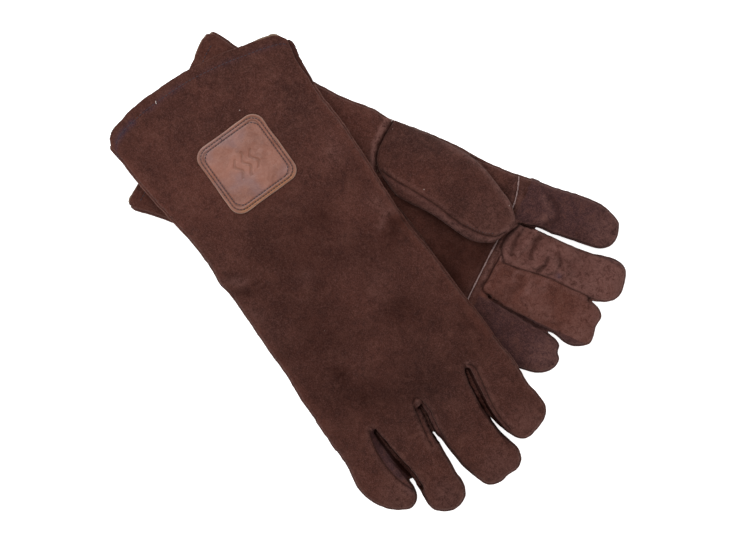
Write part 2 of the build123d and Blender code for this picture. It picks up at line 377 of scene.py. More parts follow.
def placed(name, data):
    """An object in the scene that shows some data."""
    thing = bpy.data.objects.new(name, data)
    bpy.context.scene.collection.objects.link(thing)
    return thing


def new_mesh(name, verts, quads, extra):
    """A mesh object from millimetres, with smooth faces and named point values."""
    mesh = bpy.data.meshes.new(name)
    mesh.from_pydata((verts * MM).tolist(), [], quads.tolist())
    mesh.shade_smooth()
    for key, values in extra.items():
        kind, field = ("FLOAT_VECTOR", "vector") if values.ndim == 2 else ("FLOAT", "value")
        data = mesh.attributes.new(key, kind, "POINT").data
        data.foreach_set(field, values.astype(np.float32).ravel())
    return placed(name, mesh)


def cut_out(name, whole, faces):
    """One leather piece: some of a skin's faces, with their own points."""
    quads = whole["quads"][faces]
    used, quads = np.unique(quads, return_inverse=True)
    extra = {key: values[used] for key, values in whole["extra"].items()}
    return new_mesh(name, whole["laid"][used], quads.reshape(-1, 4), extra)


# The gloves' skins

ROOT_SEAMS = [
    [(289, 38), (284.8, 30.2), (283.4, 27), (283, 22), (283.6, 17), (285, 13.4), (288, 9.6), (291, 6.6)],
    [(285.2, 11), (285.4, 6), (284.6, 0), (284.2, -10), (283.2, -18), (285.6, -21.8), (292, -23.2)],
]
PALM_SEAMS = {
    "left": [(275.8, -70), (276.4, -34), (277.4, 0), (278.8, 30), (278.6, 50), (276.8, 62), (272.8, 75)],
    "right": [(277, -86), (277, 0), (277, 31), (276.4, 47), (274.6, 59), (272.8, 66)],
}
THUMB_SEAM = [(164, 76), (162, 66), (161, 57), (162, 45), (165, 36), (169, 30)]

# Folds in the leather: a line, its half width and its height.
FOLDS = {"left": [
    (THUMB_SEAM, 0.9, -1.4),
    ([(x - 4.2, y) for x, y in THUMB_SEAM], 2.4, 1.6),
    (ROOT_SEAMS[0], 0.8, -0.5),
    (ROOT_SEAMS[1], 0.8, -0.5),
    ([(281.4, 22), (281.2, 10), (282, 0), (281.6, -12)], 1.1, 0.6),
    ([(287.6, 33), (286.6, 26), (287, 19)], 1.2, 0.9),
    ([(288.4, 40.4), (290.4, 37.4), (292, 34.8)], 1.2, 1.0),
    ([(293.4, 36.6), (291.8, 28.4), (291.8, 21.4), (293.8, 14.4)], 1.4, -1.5),
    ([(296.4, 22), (296.8, 17), (299, 12.6)], 1.3, 0.8),
    ([(304.6, 39.6), (302.6, 32.6), (300.6, 25.6), (298.2, 18.8)], 1.9, 1.9),
    ([(308.8, 38.4), (307.6, 32.4), (307.4, 27.4), (308.2, 18.8)], 1.7, -1.5),
    ([(312.4, 22), (311.6, 17), (309, 13)], 1.2, 0.6),
    ([(319, 18.8), (317.4, 16.6), (315.4, 12.8)], 1.4, 2.3),
    ([(321.8, 23.8), (321.4, 18), (320.6, 13.6), (318.6, 11)], 1.3, -1.9),
    ([(321.2, 27.8), (326.2, 26.4), (329.2, 22.6), (330.2, 17.6), (325.4, 14)], 1.5, 2.2),
    ([(328, 31), (331.6, 26.4), (332.6, 22)], 1.4, -1.1),
    ([(343, 36), (341, 28), (344, 20)], 3.4, -0.5),
    ([(303, 4), (302.6, -1.6), (307, -3.4)], 1.7, 0.9),
    ([(308.4, 3), (309.4, -6), (306, -15)], 2.4, -0.7),
    ([(316, 4), (318, -6), (315, -14)], 3.0, 0.5),
    ([(298, 66), (308, 58), (303, 49)], 2.6, 0.7),
    ([(303, 70), (315, 59), (310, 48)], 2.6, -0.8),
    ([(231, 73), (241, 72.5), (246, 70)], 1.6, -1.2),
], "right": [
    ([(292.4, -53.8), (294, -52.4)], 1.2, 1.4),
    ([(296.6, -10.2), (298.2, -11)], 2.0, 2.6),
    ([(300.6, -9), (299.2, -7.6), (296.4, -7.2), (294.4, -9), (294.2, -11.6), (296, -14)], 0.8, -1.3),
    ([(294.2, 41), (297, 39.8)], 1.3, 1.4),
    ([(300, -10), (301.4, -12), (302, -14)], 0.9, -1.4),
    ([(294.6, -50.8), (297, -52.6)], 0.9, -1.2),
    ([(136, -82), (140, -74), (146, -66)], 4.0, -0.8),
    ([(126, -82), (130, -72), (138, -62)], 4.0, 0.6),
    ([(176, 72), (172, 62), (178, 54)], 5.0, -0.7),
    ([(168, 72), (163, 60), (168, 50)], 4.0, 0.7),
]}


def slit_depth(px, py, slit):
    """How far a slit's gusset and wall lie below the leather on its two sides."""
    x, seam, wall = columns(slit["line"])
    seam_y, wall_y = np.interp(px, x, seam), np.interp(px, x, wall)
    across = (py - seam_y) / (wall_y - seam_y)
    beyond = np.maximum(across - 1, 0) * np.abs(wall_y - seam_y)
    profile = np.interp(across, *columns(slit["profile"])) * (1 - smoothstep(0, 1.6, beyond))
    along = smoothstep(x[0] - 1, x[0] + 4, px) * (1 - smoothstep(x[-1] - 2, x[-1] + 8, px))
    return slit["deep"] * profile * along


def meeting_depth(px, py):
    """The valley where the left middle finger rolls down onto the ring finger."""
    x, y = columns(LEFT_MEETING)
    off = py - np.interp(px, x, y)
    crease = 1.3 * bell(off, 0.9) + 0.9 * bell(off, 4.0) * (off > 0)
    along = smoothstep(x[0] - 1, x[0] + 3, px) * (1 - smoothstep(x[-1] - 6, x[-1] + 2, px))
    return crease * along


def floor_field(plan, z, half):
    """A thin pad half way up the glove."""
    height = np.full((*plan.shape, 1), half)
    return pillow(plan[:, :, None], 6, height, z[None, None, :] - MIDDLE + 0.5, 2.5)


def web_field(px, py, z, slit):
    """The closed floor of a slit, from its inner end to where it opens through."""
    end = slit["opens"] - 5
    x, seam, wall = columns(slit["line"])
    middle = (seam + wall * 2) / 3
    web = [(x[0] - 8, wall[0])] + [p for p in zip(x, middle) if p[0] < end]
    web.append((end, np.interp(end, x, middle)))
    return floor_field(line_distance(px, py, web) - 6, z, SLIT_FLOOR)


def finger_field(px, py, level, finger, seed):
    """One finger: a padded tube lying flat, thinner towards its tip."""
    stations, tip = finger
    plan = plan_distance(px, py, finger_outline(stations, tip)) + 0.1
    thin = 9.6 - 1.2 * smoothstep(KNUCKLE_X, tip_of(tip)[0], px) + 0.45 * noise(px, py, 17, seed)
    return pillow(plan[:, :, None], FINGER_ROUNDING, thin[:, :, None], level, 2.2)


def cuff_end(side, px, py, wavy_y, z, seed):
    """How far each point lies outside the cuff's edge, where the lower leather is set forward."""
    edge_y, edge_x = spline(CUFFS[side]).T
    edge = np.interp(wavy_y, edge_y, edge_x) + 0.5 * noise(px, py, 9, seed)
    if side == "right":
        shift = 3.4 * (smoothstep(40, 72, py) * (1 - smoothstep(74, 82, py)))
    else:
        shift = 2.2 * smoothstep(30, 70, np.abs(py))
    lower = (z < MIDDLE)[None, None, :]
    return edge[:, :, None] - shift[:, :, None] * lower - px[:, :, None]


def glove_field(side, px, py, z):
    """A glove's solid, then the solid before its cuff's end is cut, and the room in it."""
    seed = SEEDS[side]
    slits = SLITS[side]
    wavy = 1 - smoothstep(236, 284, px)
    wavy_x = px + 0.8 * noise(px, py, 34, seed) * wavy
    wavy_y = py + 0.6 * noise(px, py, 27, seed + 5) * wavy
    hand = (plan_distance(wavy_x, wavy_y, hand_outline(side)) - 0.1)[:, :, None]
    dents = 0.75 * rough(px, py, 46, seed + 9) + 0.3 * noise(px, py, 15, seed + 12)
    half = (MIDDLE - 1.2 * (1 - smoothstep(20, 140, px)) + dents - 0.4)[:, :, None]
    level = z[None, None, :] - MIDDLE
    if side == "right":
        gape = 2.2 * smoothstep(-4, 12, px) * (1 - smoothstep(20, 44, px)) * (py > 50)
        hand = hand + gape[:, :, None] * smoothstep(-0.5, 1.5, level)
    field = pillow(hand, HAND_ROUNDING, half, level)
    for number, finger in enumerate(FINGERS[side].values()):
        field = join(field, finger_field(px, py, level, finger, seed + 30 + number), MELT)
    for slit in slits:
        field = join(field, web_field(px, py, z, slit), MELT)
    depth = sum(slit_depth(px, py, slit) for slit in slits)
    if side == "left":
        pressed = line_distance(px, py, LEFT_MEETING[:-1]) - 5
        field = join(field, floor_field(pressed, z, MEETING_FLOOR), MELT)
        depth = depth + meeting_depth(px, py)
    cover = MIDDLE + 0.4 - depth
    if side == "left":
        fronts = smoothstep(282.5, 287.5, px) * (py > -24) * (py < 37)
        cover = cover - 1.3 + 1.3 * np.maximum(fronts, smoothstep(60, 0, px))
    field = -join(-field, -(level - cover[:, :, None]), 1.0)
    field = -join(-field, level + MIDDLE + 1.5 - 0.5 * depth[:, :, None], 1.0)
    room = pillow(hand + LINING_WALL, ROOM_ROUNDING, half - LINING_WALL, level)
    room = np.maximum(room, (px - ROOM_END_X)[:, :, None])
    outer = np.maximum(field, cuff_end(side, px, py, wavy_y, z, seed + 21))
    return np.maximum(outer, -room), field, room


def seam_distance(side, x, y, upper, sideways, from_welt):
    """How far each point lies from the nearest seam, slit wall edge or line where the left middle and ring
    fingers meet. The shader darkens these lines: dark seam lines, and painted shade along the wall edges and
    the meeting line.
    """
    seam = np.full(len(x), 30.0)
    if side == "right":
        for slit in SLITS[side]:
            line = columns(slit["line"]).T
            for edge, set_back in ((line[:, [0, 1]], 0.0), (line[:, [0, 2]], 0.35)):
                reach = line_distance(x, y, spline(edge)) + set_back
                seam = np.where(upper, np.minimum(seam, reach), seam)
    else:
        reach = line_distance(x, y, spline(LEFT_MEETING))
        seam = np.where(upper, np.minimum(seam, reach), seam)
    lines = [PALM_SEAMS[side]] + (ROOT_SEAMS + [THUMB_SEAM] if side == "left" else [])
    palm_side = upper if side == "left" else ~upper
    for line in lines:
        seam = np.where(palm_side, np.minimum(seam, line_distance(x, y, spline(line))), seam)
    half = np.where(x > KNUCKLE_X, GUSSET_HALF, WELT_HALF)
    return np.minimum(seam, np.where(sideways, np.abs(from_welt - half) * 1.4, 30))


def build_glove(side):
    """The whole skin of a glove with its values for the leather's shader."""
    xs = np.arange(-42, 396, VOXEL)
    ys = np.arange(-98, 92, VOXEL)
    z = np.arange(-2.5, THICKNESS + 4.5, VOXEL)
    field, outer, room = glove_field(side, *np.meshgrid(xs, ys, indexing="ij"), z)
    verts, quads = skin(field, (xs[0], ys[0], z[0]), VOXEL)
    cell = tuple(np.clip(((v - s[0]) / VOXEL).round().astype(int), 0, len(s) - 1)
                 for v, s in zip(verts.T, (xs, ys, z)))
    inside = (np.abs(room[cell]) < np.abs(outer[cell])) & (room[cell] < 1.0) & (verts[:, 0] < 268)
    verts = relaxed(verts, quads, SMOOTHING)
    x, y, height = verts.T
    normal = normals_of(verts, quads)
    upper = height > MIDDLE
    seed = SEEDS[side]
    sideways = (np.abs(normal[:, 2]) < 0.8) & ~inside
    from_welt = np.abs(height - MIDDLE)
    seam = seam_distance(side, x, y, upper, sideways, from_welt)
    groove = -0.8 * bell(seam, 1.1) + 0.4 * bell(seam - 3.6, 2.2)
    pucker = 0.3 * noise(x, y, 3.6, seed + 70) * bell(seam, 5)
    creases = 0.24 * rough(x, y, 7.5, seed + 80)
    welt = np.where(sideways & (x < KNUCKLE_X), 0.5 * bell(from_welt, 1.3), 0)
    folds = np.zeros(len(verts))
    bent_x = x + 1.0 * noise(x, y, 4.5, seed + 91)
    bent_y = y + 1.0 * noise(x, y, 5.5, seed + 93)
    for line, width, rise in FOLDS[side]:
        folds += rise * bell(line_distance(bent_x, bent_y, spline(line)), width)
    folds *= smoothstep(MIDDLE, MIDDLE + 3, height)
    move = np.where(inside, 0, groove + pucker + creases + welt + folds)
    verts = verts + normal * move[:, None]
    if side == "left":
        verts[:, 2] = np.maximum(verts[:, 2], 0.05)
    return {
        "side": side, "quads": quads, "flat": verts, "laid": laid(verts, side), "inside": inside,
        "extra": {"flat": verts * MM, "seam": seam}, "folds": folds,
        "rim": -plan_distance(x, y, hand_outline(side)),
        "depth": sum(slit_depth(x, y, slit) for slit in SLITS[side]) * upper,
    }


# Marks on the right glove's back: (x, y), radius, and how dark (or, below zero, how pale). Most are darker
# and paler patches of the leather; the dark one at (127, -69) and the pale one at (137, -66) are painted
# shade and painted highlight on the dent by the little finger's side.
SMUDGES_AND_DENT_SHADING = [((241, -46), 9, 0.45), ((266, -41), 10, 0.3), ((127, -69), 7, 0.25), ((137, -66), 5, -0.4),
           ((165, -72), 8, -0.4), ((188, -74), 8, -0.3), ((163, -21), 8, -0.5), ((175, -17), 7, 0.3),
           ((150, 60), 8, -0.5), ((205, 20), 12, -0.3), ((226, 23), 10, 0.25), ((136, 20), 9, 0.3),
           ((96, 55), 12, -0.4), ((210, -48), 12, 0.2)]


def palm_dyes_and_shade(x, y, upper, red, dark):
    """The left glove's palm side: two red fingers, two purple ones, and a palm darkened by painted shade
    between the thumb and the right glove.
    """
    fronts = upper & (x > 283.5)
    mids = fronts & (y > -26) & (y < 42)
    red = np.where(mids, 0.95 + 0.3 * rough(x, y, 20, 5), red)
    purple = np.where(fronts & ~mids, 0.85 + 0.3 * rough(x, y, 22, 7), 0)
    # Painted shade, with some darker leather, on the palm between the thumb and the right glove's edge, which
    # is also made redder.
    shaded = smoothstep(150, 185, x) * (x < SPLIT_X) * (1 - smoothstep(22, 60, y))
    dark = dark + upper * (0.45 + 0.34 * rough(x, y, 26, 15)) * shaded
    red = red + 0.4 * upper * shaded * (1 + rough(x, y, 19, 16))
    ink = 0.8 * bell(np.hypot(x - 335, y - 14.5), 2.6) * upper
    # Painted shade in the valley where the middle and ring fingers meet, and dark lines along the root seams.
    crease = line_distance(x, y, LEFT_MEETING)
    for line in ROOT_SEAMS:
        crease = np.minimum(crease, line_distance(x, y, spline(line)))
    dark = dark + 0.3 * bell(crease, 0.7) * upper
    middle = mids * (y > np.interp(x, *columns(LEFT_MEETING)))
    purple = purple + 0.3 * middle * np.clip(0.8 + rough(x, y, 18, 65), 0, 1)
    wear = 0.6 * mids * np.clip(0.5 + rough(x, y, 13, 63), 0, 1)
    wear = wear + 0.5 * middle + 0.8 * bell(np.hypot(x - 366, y - 30), 8) * upper
    return red, purple, ink, wear, dark


def back_dyes_and_shade(x, y, height, rim, depth, red, dark):
    """The right glove's back: a red rim, a purple gusset, an inked hem, painted shadows, and smudges, some of
    them painted shade and highlight.
    """
    upper = height > MIDDLE
    red = red + 0.8 * (1 - smoothstep(2, 9, rim)) * (x < 290) * (0.6 + 0.4 * noise(x, y, 30, 77))
    gusset = smoothstep(0.5, 2, depth) * (y < -40) * (1 - smoothstep(6.5, 8.5, depth)) * (x < 341)
    purple = 0.85 * gusset + 0.3 * smoothstep(0.5, 3, depth) * (y > -40)
    purple = purple + 0.8 * bell(np.hypot(x - 350, y + 56.5), 5)
    # The gusset darker, most towards the slit's closed end: darker leather and painted shade in the slit.
    dark = dark + gusset * (0.22 + 0.35 * (1 - smoothstep(298, 330, x)))
    # Painted shade along the lower sides of the ring, middle and index fingers.
    for name in ("ring", "middle", "index"):
        sx, low, _ = columns(FINGERS["right"][name][0])
        off = y - np.interp(x, sx, low)
        shaded = smoothstep(318, 330, x) * (1 - smoothstep(362, 376, x)) * (off > -4)
        dark = dark + 0.5 * shaded * (1 - smoothstep(1.2, 3.6, off))
    cuff_y, cuff_x = spline(CUFFS["right"]).T
    from_hem = x - np.interp(y, cuff_y, cuff_x) - HEM_INSET
    inked = (1 - 0.75 * smoothstep(-50, 0, y)) * np.clip(0.6 + rough(x, y, 12, 44), 0, 1)
    ink = 0.2 * gusset + 0.8 * bell(from_hem, 2.6) * inked * upper
    # Painted shade in the gape at the cuff's thumb-side corner.
    gaping = (y > 60) & (x < 46) & (height > MIDDLE - 1)
    dark = dark + 0.4 * gaping * smoothstep(0, 0.5, MIDDLE + 2.5 - height)
    # Painted shade: darker over the hand than at the cuff, fading out on the fingers.
    shaded = (0.07 + 0.16 * smoothstep(80, 150, x)) * (1 - 0.9 * smoothstep(280, 315, x))
    dark = dark + shaded * (1 + 0.8 * rough(x, y, 30, 31))
    # Darker and paler marks; those by the dent near the little finger's side are painted shade and painted
    # highlight.
    wear = np.zeros(len(x))
    uneven = upper * (0.7 + 0.6 * rough(x, y, 6, 41))
    for (sx, sy), radius, strength in SMUDGES_AND_DENT_SHADING:
        mark = bell(np.hypot(x - sx, y - sy), radius) * uneven
        dark = dark + max(strength, 0) * mark
        wear = wear + max(-strength, 0) * mark
    return red, purple, ink, wear, dark


def dyes_and_painted_light(whole):
    """How red, purple and inky the leather is at each point, how pale from wear and painted highlight, and
    how dark, mostly from painted shade, from 0 to 1.
    """
    x, y, height = whole["flat"].T
    side, folds, depth = whole["side"], whole["folds"], whole["depth"]
    red = 0.25 + 0.35 * rough(x, y, 60, 3 if side == "left" else 8)
    # Painted shade: darker deep in the finger slits and in the hollows of the folds.
    dark = 0.75 * smoothstep(4.4, 8.6, depth) + 0.42 * np.clip(-folds, 0, 1)
    if side == "left":
        red, purple, ink, wear, dark = palm_dyes_and_shade(x, y, height > MIDDLE, red, dark)
    else:
        red, purple, ink, wear, dark = back_dyes_and_shade(x, y, height, whole["rim"], depth, red, dark)
    tips = np.zeros(len(x))
    for _, tip in FINGERS[side].values():
        tip_x, tip_y = tip_of(tip)
        tips = np.maximum(tips, 1 - smoothstep(4, 26, np.hypot(x - tip_x + 9, y - tip_y)))
    wear = wear + (0.6 if side == "left" else 0.4) * tips
    # Paler beside the seams and on the crests of the folds: partly wear, partly painted highlight.
    wear = wear + 0.3 * bell(whole["extra"]["seam"] - 3.0, 1.6)
    wear = wear + 0.85 * np.clip(folds, 0, 1)
    values = {"red": red, "purple": purple, "ink": ink, "wear": wear, "dark": dark}
    return {name: np.clip(value, 0, 1) for name, value in values.items()}


def owners_of(x, y, side):
    """The number of the finger that each point past the palm's seam belongs to."""
    best = np.full(len(x), -1)
    nearest = np.full(len(x), 1e9)
    for number, (stations, tip) in enumerate(FINGERS[side].values()):
        sx, low, high = columns(stations)
        tip_x, tip_y = tip_of(tip)
        sx = np.append(sx, tip_x)
        low = np.interp(x, sx, np.append(low, (tip_y - 8 + tip[0][1]) / 2))
        high = np.interp(x, sx, np.append(high, (tip_y + 8 + tip[-1][1]) / 2))
        off = np.abs(y - (low + high) / 2) - (high - low) / 2
        best = np.where(off < nearest, number, best)
        nearest = np.minimum(off, nearest)
    return best


# The thumbs: a full front over a flatter back, folded across the palm

THUMB_WHOLE = [(163.5, 74), (162, 64), (161.5, 54), (162, 44), (165, 36), (172, 29.5), (186, 21), (198, 18),
               (222, 17), (244, 12.8), (256, 11), (267, 12.8), (276, 17.5), (281.6, 27), (284.6, 35),
               (284, 41), (275.6, 51.2), (264, 58), (252, 64.4), (242, 69), (230, 72.5), (205, 74.5),
               (180, 74.5)]
THUMB_EDGE = [(172, 31.5), (186, 29), (203, 27.5), (220, 25.2), (236, 21.3), (246, 19.2), (257, 18.6),
              (267, 19), (275.5, 21.5), (281.2, 28)]
THUMB_FRONT = THUMB_WHOLE[:5] + THUMB_EDGE + THUMB_WHOLE[14:]
CREASE_START, CREASE_END = (176.0, 36.0), (233.0, 72.0)
CREASE_LEVEL = 27


def thumb_distance(px, py, outline):
    return plan_distance(px, py, spline(outline + outline[:1], 5))


def build_thumb(side):
    """The thumb's skin in its glove's plan, above the palm on the left and below it on the right."""
    left = side == "left"
    shrink, full = (1.0, 7.2) if left else (0.9, 3.6)
    xs = np.arange(154, 292, VOXEL)
    ys = np.arange(4, 80, VOXEL)
    z = np.arange(0, 44, VOXEL)
    px, py = np.meshgrid(xs, ys, indexing="ij")
    plan = thumb_distance(163 + (px - 163) / shrink, 50 + (py - 50) / shrink, THUMB_WHOLE)
    dents = 0.5 * rough(px, py, 24, 91)
    if left:
        rooted = 1 - smoothstep(163, 196, px)
        edged = smoothstep(50, 76, py) * (1 - smoothstep(212, 262, px))
        level = THICKNESS + full + 0.6 - (full + 1.0) * rooted - 10 * edged * (1 - 0.5 * rooted)
    else:
        level = np.full(px.shape, THICKNESS + full + 0.4)
    above = z[None, None, :] - level[:, :, None]
    field = pillow(plan[:, :, None], THUMB_ROUNDING, (full + dents)[:, :, None], above, 2.1)
    verts, quads = skin(field, (xs[0], ys[0], z[0]), VOXEL)
    verts = relaxed(verts, quads, SMOOTHING)
    x, y, _ = verts.T
    normal = normals_of(verts, quads)
    seam = np.where(normal[:, 2] > -0.2, line_distance(x, y, THUMB_EDGE), 30)
    groove = -0.8 * bell(seam, 1.1) + 0.25 * bell(seam - 3.0, 1.6)
    creases = 0.3 * rough(x, y, 8, 95) + 0.35 * noise(x, y, 3.6, 97) * bell(seam, 5)
    verts = verts + normal * (groove + creases)[:, None]
    if left:
        root = THICKNESS - 2.5 - 9 * smoothstep(66, 78, verts[:, 1])
        verts[:, 2] = np.maximum(verts[:, 2], root)
    else:
        verts[:, 2] = THICKNESS - verts[:, 2]
        quads = quads[:, ::-1]
    extra = {"flat": verts * MM, "seam": seam}
    return {"side": side, "quads": quads, "flat": verts, "laid": laid(verts, side), "extra": extra}


# Materials

class Look:
    """A material and its node tree, with short names for what the materials here need."""

    def __init__(self, name):
        self.material = bpy.data.materials.new(name)
        self.material.use_nodes = True
        self.tree = self.material.node_tree
        self.shader = self.tree.nodes["Principled BSDF"]

    def feed(self, node, values):
        """Joins outputs to a node's inputs, or sets them to numbers and colours."""
        for key, value in values.items():
            if isinstance(value, bpy.types.NodeSocket):
                self.tree.links.new(value, node.inputs[key])
            else:
                node.inputs[key].default_value = (*value, 1) if isinstance(value, tuple) else value

    def node(self, kind, values, **settings):
        node = self.tree.nodes.new(kind)
        for key, value in settings.items():
            setattr(node, key, value)
        self.feed(node, values)
        return node.outputs

    def value(self, name, output="Fac"):
        return self.node("ShaderNodeAttribute", {}, attribute_name=name)[output]

    def grain(self, scale, detail, roughness, distortion=0.0):
        place = self.value("flat", "Vector")
        shape = {"Scale": scale, "Detail": detail, "Roughness": roughness, "Distortion": distortion}
        return self.node("ShaderNodeTexNoise", {"Vector": place, **shape})["Fac"]

    def cells(self, scale):
        return self.node("ShaderNodeTexVoronoi", {"Vector": self.value("flat", "Vector"), "Scale": scale})

    def ramp(self, value, low, high, low_out=0.0, high_out=1.0):
        ends = {"From Min": low, "From Max": high, "To Min": low_out, "To Max": high_out}
        return self.node("ShaderNodeMapRange", {"Value": value, **ends})["Result"]

    def times(self, a, b):
        return self.node("ShaderNodeMath", {0: a, 1: b}, operation="MULTIPLY")[0]

    def mix(self, share, a, b):
        return self.node("ShaderNodeMix", {0: share, 6: a, 7: b}, data_type="RGBA")[2]

    def layers(self, colour, rows):
        """Lays colours over a colour: what each follows, where it starts, where it is full, how much."""
        for value, start, full, amount, wall_dyes_and_shade in rows:
            colour = self.mix(self.ramp(value, start, full, 0, amount), colour, wall_dyes_and_shade)
        return colour

    def finish(self, values, bumps):
        """Sets the shader, with (height, strength, distance) bumps on top of each other."""
        for height, strength, distance in bumps:
            bump = {"Height": height, "Strength": strength, "Distance": distance}
            if "Normal" in values:
                bump["Normal"] = values["Normal"]
            values["Normal"] = self.node("ShaderNodeBump", bump)["Normal"]
        self.feed(self.shader, values)
        return self.material


BROWN = (0.0500, 0.0165, 0.0115)
DARK = (0.0290, 0.0092, 0.0066)
LIGHT = (0.0950, 0.0375, 0.0275)
RED = (0.0860, 0.0270, 0.0185)
PURPLE = (0.0420, 0.0172, 0.0180)
INK = (0.0300, 0.0215, 0.0420)
PALE_WEAR_AND_HIGHLIGHT = (0.1560, 0.0735, 0.0630)
DEEP = (0.0100, 0.0034, 0.0025)
LINT = (0.3400, 0.2600, 0.2300)


def suede():
    """Brushed split leather: mottled dye, nap that lies in patches, fuzz, pale wear with painted highlights,
    and painted shade.
    """
    look = Look("brown_suede")
    cloud = look.grain(24, 4, 0.6, 0.6)
    blotch = look.grain(75, 6, 0.7, 0.5)
    nap = look.grain(240, 5, 0.75, 0.6)
    tuft = look.grain(520, 3, 0.6, 0.4)
    fuzz = look.grain(1100, 4, 0.8)
    dark = look.value("dark")
    colour = look.mix(look.ramp(cloud, 0.36, 0.64), DARK, BROWN)
    for name, wall_dyes_and_shade in (("red", RED), ("purple", PURPLE), ("ink", INK)):
        colour = look.mix(look.value(name), colour, wall_dyes_and_shade)
    colour = look.layers(colour, [(blotch, 0.50, 0.78, 0.7, LIGHT), (blotch, 0.49, 0.24, 0.8, DARK)])
    # Pale wear, partly painted highlight, where the nap lifts.
    rubbed_and_highlit = look.times(look.value("wear"), look.ramp(nap, 0.32, 0.60))
    colour = look.mix(look.times(rubbed_and_highlit, 0.78), colour, PALE_WEAR_AND_HIGHLIGHT)
    colour = look.layers(colour, [
        (nap, 0.52, 0.78, 0.65, LIGHT), (nap, 0.48, 0.22, 0.65, DEEP),
        (tuft, 0.54, 0.78, 0.25, PALE_WEAR_AND_HIGHLIGHT), (tuft, 0.46, 0.24, 0.3, DEEP),
        (fuzz, 0.50, 0.74, 0.5, PALE_WEAR_AND_HIGHLIGHT), (fuzz, 0.50, 0.27, 0.55, DEEP),
        # Dark seam lines, with painted shade along the slits' wall edges and the fingers' meeting line.
        (look.value("seam"), 1.0, 0.2, 0.65, DEEP),
    ])
    # Painted shade from the 'dark' value: slits, fold hollows, creases, the gape and shaded sides, with some
    # darker leather.
    colour = look.mix(dark, colour, DEEP)
    flecks = look.cells(58.0)
    kept = look.ramp(flecks["Color"], 0.62, 0.66)
    fleck = look.times(kept, look.ramp(flecks["Distance"], 0.034, 0.016, 0, 0.8))
    return look.finish({
        "Base Color": look.mix(fleck, colour, LINT),
        "Sheen Weight": look.ramp(dark, 0.1, 0.8, 0.12, 0.0),
        "Sheen Roughness": 0.4,
        "Sheen Tint": (0.75, 0.50, 0.42),
        "Roughness": look.ramp(nap, 0.3, 0.7, 0.86, 0.98),
        "Specular IOR Level": look.ramp(dark, 0.1, 0.8, 0.1, 0.0),
    }, [(blotch, 0.4, 0.0014), (nap, 0.6, 0.0008), (fuzz, 0.6, 0.0003)])


def plain(name, dark, light, scale, bump_size, roughness=0.85, sheen=0.0):
    """A two-tone grained material, for linings, threads and welts."""
    look = Look(name)
    grain = look.grain(scale, 4, 0.65)
    lumps = look.grain(scale / 6, 3, 0.6)
    colour = look.mix(look.ramp(grain, 0.35, 0.7), dark, light)
    colour = look.layers(colour, [(lumps, 0.4, 0.7, 0.4, dark)])
    values = {"Base Color": colour, "Roughness": roughness, "Sheen Weight": sheen, "Specular IOR Level": 0.25}
    return look.finish(values, [(grain, 0.7, bump_size)])


def patch_leather():
    """Smooth vegetable tanned leather: fine pores, cloudy red tan, darker pressed lines, pale edge."""
    look = Look("patch_leather")
    cloud = look.grain(45, 4, 0.6, 0.6)
    streak = look.grain(170, 5, 0.7, 2.0)
    pores = look.cells(900.0)["Distance"]
    plum = look.grain(38, 2, 0.5)
    colour = look.mix(look.ramp(cloud, 0.35, 0.66), (0.125, 0.037, 0.019), (0.212, 0.080, 0.052))
    colour = look.layers(colour, [
        (plum, 0.52, 0.66, 0.6, (0.145, 0.074, 0.072)),
        (streak, 0.48, 0.78, 0.6, (0.25, 0.118, 0.087)),
        (pores, 0.25, 0.0, 0.35, (0.06, 0.022, 0.015)),
        (look.value("pressed"), 0, 1, 0.6, (0.075, 0.024, 0.010)),
    ])
    colour = look.mix(look.value("edge"), colour, (0.25, 0.155, 0.115))
    colour = look.mix(look.value("burnt"), colour, (0.190, 0.062, 0.012))
    shine = look.ramp(streak, 0.3, 0.7, 0.42, 0.58)
    values = {"Base Color": colour, "Roughness": shine, "Specular IOR Level": 0.4}
    return look.finish(values, [(streak, 0.3, 0.0004), (pores, 0.35, 0.0002)])


SUEDE = suede()
PALE_THREAD = plain("pale_thread", (0.30, 0.24, 0.22), (0.62, 0.54, 0.50), 2500, 0.0002, 0.6)
MATERIALS = {
    "brown_suede": SUEDE,
    "red_brown_suede": SUEDE,
    "purple_brown_suede": SUEDE,
    "lining": plain("lining", (0.100, 0.060, 0.038), (0.190, 0.125, 0.085), 900, 0.0004, 0.95, 0.1),
    "pale_welt": plain("pale_welt", (0.13, 0.077, 0.073), (0.31, 0.212, 0.198), 700, 0.0003),
    "dark_thread": plain("dark_thread", (0.022, 0.014, 0.020), (0.070, 0.046, 0.052), 2500, 0.0002, 0.6),
    "hem_thread": plain("hem_thread", (0.028, 0.015, 0.018), (0.056, 0.034, 0.042), 2500, 0.0002, 0.6),
    "patch_leather": patch_leather(),
}


# Pieces

def finish_piece(piece, slot, nodes=(), body=None, bend=None, material=None):
    """Gives a piece the material for its slot and hides the CAD nodes it replaces; a piece with a bend only
    has its transform baked, any other is attached to its body.
    """
    piece.data.materials.append(material or MATERIALS[slot])
    if nodes:
        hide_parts(*nodes)
    if bend:
        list(bend[:2])
        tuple(bend[2])
        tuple(bend[3])
        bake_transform(piece)
    else:
        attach(piece, body)


def knuckle_bend(side, name):
    """The blend across a finger's knuckle, or None for the finger that stays on its hand."""
    if side == "left" and name == "little":
        return None
    _, low, high = FINGERS[side][name][0][0]
    ends = (frame_point(x, (low + high) / 2, MIDDLE, side) for x in (BEND_START_X, BEND_END_X))
    return (f"{side}_hand", f"{side}_{name}", *ends)


def thumb_bend():
    """The blend across the left thumb's crease."""
    (ax, ay), (bx, by) = CREASE_START, CREASE_END
    length = np.hypot(bx - ax, by - ay)
    nx, ny = (by - ay) / length, -(bx - ax) / length
    mx, my = (ax + bx) / 2, (ay + by) / 2
    ends = (frame_point(mx + far * nx, my + far * ny, CREASE_LEVEL, "left") for far in (-9, 12))
    return ("left_hand", "left_thumb", *ends)


